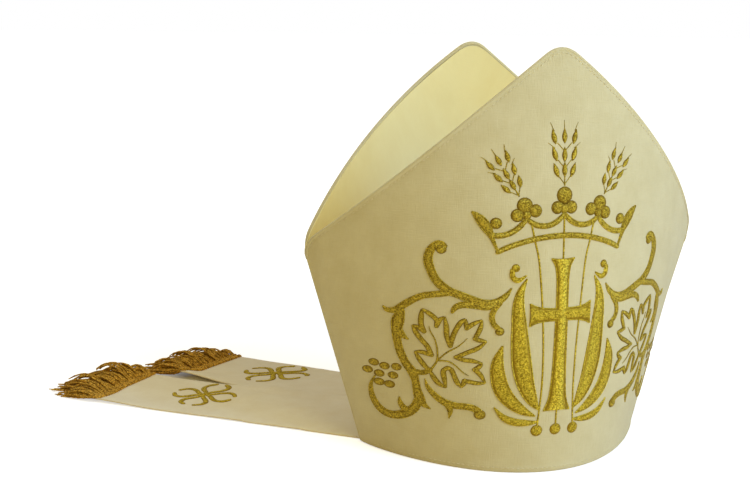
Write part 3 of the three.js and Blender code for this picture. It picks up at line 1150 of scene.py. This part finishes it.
# %% Cross, blades and stalks
CROSS = [
    [(0, 149, 8.2), (0, 144, 5.6), (0, 136, 4.5), (0, 124, 4.3), (0, 112, 4.4), (0, 90, 4.6),
     (0, 68, 5.2), (0, 54, 6.6), (0, 45.5, 9.6)],
    [(-21.5, 112, 7.8), (-17.5, 112, 5.8), (-11, 112, 4.6), (0, 112, 4.3), (11, 112, 4.6),
     (17.5, 112, 5.8), (21.5, 112, 7.8)],
]
CROSS_ENDS = [[(-8.4, 149.3, 0.7), (0, 148.6, 0.7), (8.4, 149.3, 0.7)],
              [(-9.6, 45.2, 0.7), (0, 46, 0.7), (9.6, 45.2, 0.7)],
              [(-21.9, 104.2, 0.7), (-21.2, 112, 0.7), (-21.9, 119.8, 0.7)],
              [(21.9, 104.2, 0.7), (21.2, 112, 0.7), (21.9, 119.8, 0.7)]]
HALF_BLADES = [
    [(-12.6, 46, 0.4), (-17.6, 53, 3.6), (-22.4, 64, 5.6), (-25.6, 77, 6.4), (-27.4, 91, 5.9),
     (-28.6, 104, 4.9), (-29.6, 117, 3.8), (-28.6, 127, 2.4), (-24.6, 136.4, 0.3)],
    [(-15, 41.6, 0.4), (-23, 45.4, 2.8), (-31, 51.4, 4.4), (-37.2, 59.6, 5.0),
     (-40.4, 70, 4.6), (-41, 80, 3.4), (-38.6, 91, 0.4)],
    [(-12.4, 37.4, 0.4), (-20, 36.8, 1.9), (-28.4, 37.4, 2.5), (-35.6, 40.6, 2.0),
     (-41.6, 47.4, 0.3)],
    [(-25, 138.6, 0.3), (-30, 135.4, 1.5), (-33.6, 137.2, 1.6), (-34.2, 141.6, 1.5)],
]
HALF_BLADE_DOT = (-32, 143.6, 2.8)
STALKS = [[(-22.4, 172, 0.75), (-19.6, 160, 0.75), (-16.8, 147.6, 0.75), (-14.2, 122, 0.75),
           (-12, 90, 0.75), (-11.6, 60, 0.75), (-13.2, 33, 0.75)],
          [(0, 178, 0.75), (0, 160, 0.75), (0, 148, 0.75)],
          [(0, 47, 0.75), (0, 40, 0.75), (0, 33, 0.75)]]

work = Needlework()
for lay in (on_front, mirrored(on_front)):
    for table in HALF_BLADES:
        stroke(work, lay, table, rise=1.0)
    dot(work, lay, *HALF_BLADE_DOT)
    stroke(work, lay, STALKS[0], shades=(1, 1), rise=0.5, outline=False, spacing=2.0)
    dot(work, lay, -13.3, 31.2, 4.2)
for table in STALKS[1:]:
    stroke(work, on_front, table, shades=(1, 1), rise=0.5, outline=False, spacing=2.0)
for table in CROSS:
    stroke(work, on_front, table, rise=1.2, rounded=False)
for table in CROSS_ENDS:
    stroke(work, on_front, table, shades=(1, 1), rise=0.9, outline=False)
dot(work, on_front, 0, 31.6, 4.2)
finish(work.mesh("gold_cross_and_blades"), "gold_thread", bright_gold, outline_gold, angle=60)


# %% [markdown]
# ## The lappets
# A lappet is a long tail of the same cloth, lined and hemmed, that hangs down the wearer's
# back. Here both lie on the table, so they are nearly flat: they ride over small hollows, and
# their near edges lift a little by the fringe. A grid is laid along each one's own line.

# %% Lappet cloth
LAPPETS = {
    "left": {"x": -86.3, "y": 32, "heading": 143.1, "length": 221, "rim": (71, 0),
             "end": (72.5, -4.5), "thick": 1.5, "lift": 1.6},
    "right": {"x": -23, "y": 70, "heading": 140, "length": 211, "rim": (64, -39),
              "end": (74, -10), "thick": 1.5, "lift": 5.5},
}
LAPPET_COLUMNS, LAPPET_ROWS = 41, 131
UNDER_RIM = 12


def overlap(along):
    """How far the left lappet's far edge spreads sideways over the right one's near edge."""
    return mix(6.2, 8.4, along / 125) * (1 - 0.62 * smooth(along, 112, 150))


def lappet_top(side, along, across):
    """Height of the cloth's upper face above the table."""
    shape = LAPPETS[side]
    share = along / shape["length"]
    free = smooth(along, UNDER_RIM, UNDER_RIM + 35)
    seed = 4.0 if side == "left" else 17.0
    broad = noise.noise(Vector((along / 48, across * 0.9, seed))) + 0.25
    crease = noise.noise(Vector((along / 15 + across * 1.6, across * 1.1 - along / 60, seed + 5)))
    swell = max(0.0, 1.9 * broad) + max(0.0, 1.9 * crease) * (1 - smooth(share, 0.45, 0.8))
    lift = shape["lift"] * smooth(share, 0.72, 1.0) * smooth(-across, 0.35, 1.0)
    edge = 0.25 * smooth(abs(across), 0.8, 0.86) * (1 - smooth(abs(across), 0.97, 1.0))
    if side == "left":
        near_rim = smooth(along, 4, 18) * (1 - smooth(along, 112, 145))
        lift += 1.9 * smooth(across, 0.74, 0.88) * near_rim
    return shape["thick"] + 0.05 + (swell * (1 - 0.5 * abs(across)) + edge) * free + lift


def on_lappet(side, along, across, height):
    """A point on a lappet: along from its sewn end, across from -1 to 1."""
    shape = LAPPETS[side]
    share = min(1, max(0, along / shape["length"]))
    width = mix(shape["rim"][0], shape["end"][0], along / shape["length"])
    skew = mix(math.tan(math.radians(shape["rim"][1])), math.tan(math.radians(shape["end"][1])),
               share)
    sideways = across * width / 2
    if side == "left":
        sideways += overlap(along) * smooth(across, 0.4, 1)
    forward = along + sideways * skew
    turn = math.radians(shape["heading"])
    return Vector((shape["x"] + math.cos(turn) * forward + math.sin(turn) * sideways,
                   shape["y"] + math.sin(turn) * forward - math.cos(turn) * sideways, height))


def make_lappet(side):
    shape = LAPPETS[side]

    def place(i, j):
        across = mix(-1, 1, i / (LAPPET_COLUMNS - 1))
        along = shape["length"] * j / (LAPPET_ROWS - 1)
        return on_lappet(side, along, across,
                         lappet_top(side, along, across) - shape["thick"] / 2)

    piece = shaped_grid(f"{side}_lappet_cloth", LAPPET_COLUMNS, LAPPET_ROWS, place)
    area = sum(face.area for face in piece.data.polygons)
    edit(piece, face_out)
    apply_solidify(piece, shape["thick"])
    soften = piece.modifiers.new("soft edge", "BEVEL")
    soften.width, soften.segments, soften.limit_method = 0.55 * MM, 2, "ANGLE"
    soften.angle_limit = math.radians(60)
    bpy.ops.object.modifier_apply(modifier=soften.name)
    finish(piece, "cloth", lappet_cloth, angle=50)
    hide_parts(f"{side}_lappet")
    return piece, area


lappets = {side: make_lappet(side) for side in LAPPETS}


# %% [markdown]
# ## A cross on each lappet
# Near its end each lappet carries a small cross whose four arms open into curled loops. One
# arm is drawn as two strokes that part and curl in, and it is turned four times.

# %% Lappet crosses
HALF_ARM = [(0.0, 1.5, 1.4), (2.6, 6.5, 2.1), (7.0, 11.0, 2.3), (9.8, 16.0, 2.3),
            (8.8, 21.2, 2.2), (4.6, 24.6, 1.9)]
ARM = [HALF_ARM, [(-x, z, half) for x, z, half in HALF_ARM]]
CROSS_ALONG, CROSS_ACROSS = 150, {"left": 7, "right": 5}


def lay_on_lappet(side):
    def lay(x, z, proud):
        along = CROSS_ALONG + z
        half = mix(LAPPETS[side]["rim"][0], LAPPETS[side]["end"][0],
                   along / LAPPETS[side]["length"]) / 2
        across = (CROSS_ACROSS[side] + x) / half
        return on_lappet(side, along, across, lappet_top(side, along, across) + proud)
    return lay


def lappet_cross(side):
    work, lay = Needlework(), lay_on_lappet(side)
    for quarter in range(4):
        turn = math.radians(90 * quarter)
        for table in ARM:
            rows = [(x * math.cos(turn) - z * math.sin(turn),
                     x * math.sin(turn) + z * math.cos(turn), half) for x, z, half in table]
            stroke(work, lay, rows, rise=0.7, outline=False)
    dot(work, lay, 0, 0, 2.6)
    return finish(work.mesh(f"{side}_lappet_cross"), "gold_thread", bright_gold, angle=60)


crosses = {side: lappet_cross(side) for side in LAPPETS}


# %% [markdown]
# ## Bullion fringe
# The fringe is bullion: short twisted cords of gold thread sewn close together under a narrow
# braid. Lying on the table they fall in tufts, longer here and shorter there, and lie over
# one another, each with a small wave of its own. Each cord is a tube whose section has two
# lobes that turn along it, which is how a two-ply twist looks.

# %% Fringe
TUFTS = {
    "left": [(-0.9, 42, 9), (-0.64, 52, 14), (-0.38, 55, 17), (-0.12, 42, 13), (0.14, 40, 12),
             (0.4, 51, 19), (0.66, 46, 15), (0.92, 34, 10)],
    "right": [(-0.9, 43, 11), (-0.64, 51, 15), (-0.38, 46, 14), (-0.12, 49, 16), (0.14, 45, 14),
              (0.4, 48, 15), (0.66, 39, 11), (0.92, 29, 8)],
}
CORDS, CORD_RADIUS, CORD_STEPS, TUFT_HALF = 230, 0.7, 16, 0.13


def tuft_at(side, across):
    """(middle, reach, height) of the tuft at a place across: it is long in its middle."""
    middle, reach, high = min(TUFTS[side], key=lambda tuft: abs(tuft[0] - across))
    off = min(1, abs(across - middle) / TUFT_HALF)
    return middle, reach * (1 - 0.4 * off ** 2), high * (1 - 0.6 * off ** 2)


def fringe_cord(work, side, across, layer, chance):
    """One twisted cord from under the braid out over the table."""
    shape = LAPPETS[side]
    middle, reach, high = tuft_at(side, across)
    reach *= chance.uniform(0.88, 1.06) * (1, 0.87, 0.74)[layer]
    tip = mix(middle, across, 0.55) + chance.uniform(-0.09, 0.09)
    bow = chance.uniform(-0.07, 0.07)
    wave, turn = chance.uniform(0.006, 0.02), chance.uniform(0, 2 * math.pi)
    turned_up = 0.3 * smooth(high, 10, 15) * layer / 2
    start = lappet_top(side, shape["length"], across) - 0.6
    high_share = (0.15, 0.55, 1.0)[layer] * chance.uniform(0.88, 1.06)
    crest = CORD_RADIUS + (high - 2.4 * CORD_RADIUS) * high_share
    line, radii = [], []
    for step in range(CORD_STEPS):
        share = step / (CORD_STEPS - 1)
        rest = CORD_RADIUS * 1.15 + (0, 1.0, 1.9)[layer] * (1 - share)
        arch = math.sin(math.pi * 0.88 * share) ** 1.2
        rise = mix(arch, smooth(share, 0.05, 1.05), turned_up)
        height = mix(start, rest, smooth(share, 0, 0.6)) + (crest - rest) * rise
        there = mix(across, tip, share) + bow * math.sin(math.pi * share)
        there += wave * share * math.sin(turn + 13 * share)
        line.append(on_lappet(side, shape["length"] - 2 + reach * share, there,
                              max(height, CORD_RADIUS * 1.12)))
        radii.append(CORD_RADIUS * (1 if share < 0.93 else 0.7))
    work.cord(line, radii, sides=6, ply=0.25, turns=1.5)


def braid(work, side):
    """The narrow header that the cords hang from: two rows of small leaning wraps."""
    shape = LAPPETS[side]
    for row, sign in ((0, 1), (1, -1)):
        for step in range(34):
            across = mix(-1.0, 1.0, (step + 0.5) / 34)
            line = []
            for part in (-1, -0.5, 0, 0.5, 1):
                along = shape["length"] + 0.6 - 3.6 * row + part * 1.9
                place = across + sign * part * 0.018
                inside = min(1, max(-1, place))
                top = lappet_top(side, min(along, shape["length"]), inside)
                line.append(on_lappet(side, along, place, top + 0.9 - 0.7 * part * part))
            work.cord(line, [0.6, 1.05, 1.15, 1.05, 0.6], sides=7)


def make_fringe(side):
    chance, work = random.Random(7 if side == "left" else 11), Needlework()
    for step in range(CORDS):
        across = mix(-0.98, 0.98, step / (CORDS - 1))
        fringe_cord(work, side, across, step % 3, chance)
    braid(work, side)
    piece = finish(work.mesh(f"{side}_bullion_fringe"), "fringe", bullion_gold, angle=60)
    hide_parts(f"{side}_fringe")
    return piece


fringes = {side: make_fringe(side) for side in LAPPETS}
# The left lappet's far edge is modelled spread over the right one, and its flat width follows
# that modelled cloth. A real one is more likely to be as wide as the other and moved over it.
FLAT_WIDTH = {"left": 0.081, "right": 0.074}
for side, (cloth, area) in lappets.items():
    flat = (FLAT_WIDTH[side], LAPPETS[side]["length"] * MM)
    min(area, flat[0] * flat[1])


# %% [markdown]
# ## The table
# The mitre stands on a plain white surface that runs out to the white room, so its edge never
# shows. To the eye it carries a painted glow that washes out the shadows on it, more so further
# out. The glow is left out between the two lappets, so that a painted shade stays there.
# The light that it throws back onto the mitre is warm, a painted warm fill.

# %% Table top
# Between the lappets the painted glow is left out, so a painted shade shows there.
BETWEEN_LAPPETS = (-0.195, 0.155, 0)
deselect_all()
bpy.ops.mesh.primitive_plane_add(size=40, location=(0, 0, 0))
table_top = bpy.context.object
table_top.name = "table_top"
table_white, table_chart, table_surface = new_material("table_white")
spot = table_chart.add("TexCoord").outputs["Object"]
grain = table_chart.add("TexNoise", {"Vector": spot, "Scale": 3.0}).outputs["Fac"]
seen = table_chart.add("LightPath").outputs["Is Camera Ray"]
pale = table_chart.tint(grain, (0.86, 0.86, 0.86, 1), (0.88, 0.88, 0.88, 1))
from_afar = table_chart.add("VectorMath", {0: spot}, operation="LENGTH").outputs["Value"]
from_gap = table_chart.add("VectorMath", {0: spot, 1: BETWEEN_LAPPETS},
                           operation="DISTANCE").outputs["Value"]
# Painted glow, seen only by the camera: it washes out the shadows, and it is left out between the
# lappets for a painted shade.
painted_glow = table_chart.maths("MULTIPLY", table_chart.ramp(from_afar, 0.3, 1.0, 0.55, 1.0),
                         table_chart.ramp(from_gap, 0.03, 0.075))
wires = table_chart.tree.links.new
# White to the camera, and warm to the light thrown back onto the mitre: a painted warm fill.
wires(table_chart.tint(seen, (0.92, 0.81, 0.6, 1), pale), table_surface.inputs["Base Color"])
wires(table_chart.maths("MULTIPLY", seen, painted_glow), table_surface.inputs["Emission Strength"])
table_surface.inputs["Emission Color"].default_value = (1, 1, 1, 1)
table_surface.inputs["Roughness"].default_value = 0.9
table_surface.inputs["Specular IOR Level"].default_value = 0.1
table_top.data.materials.append(table_white)
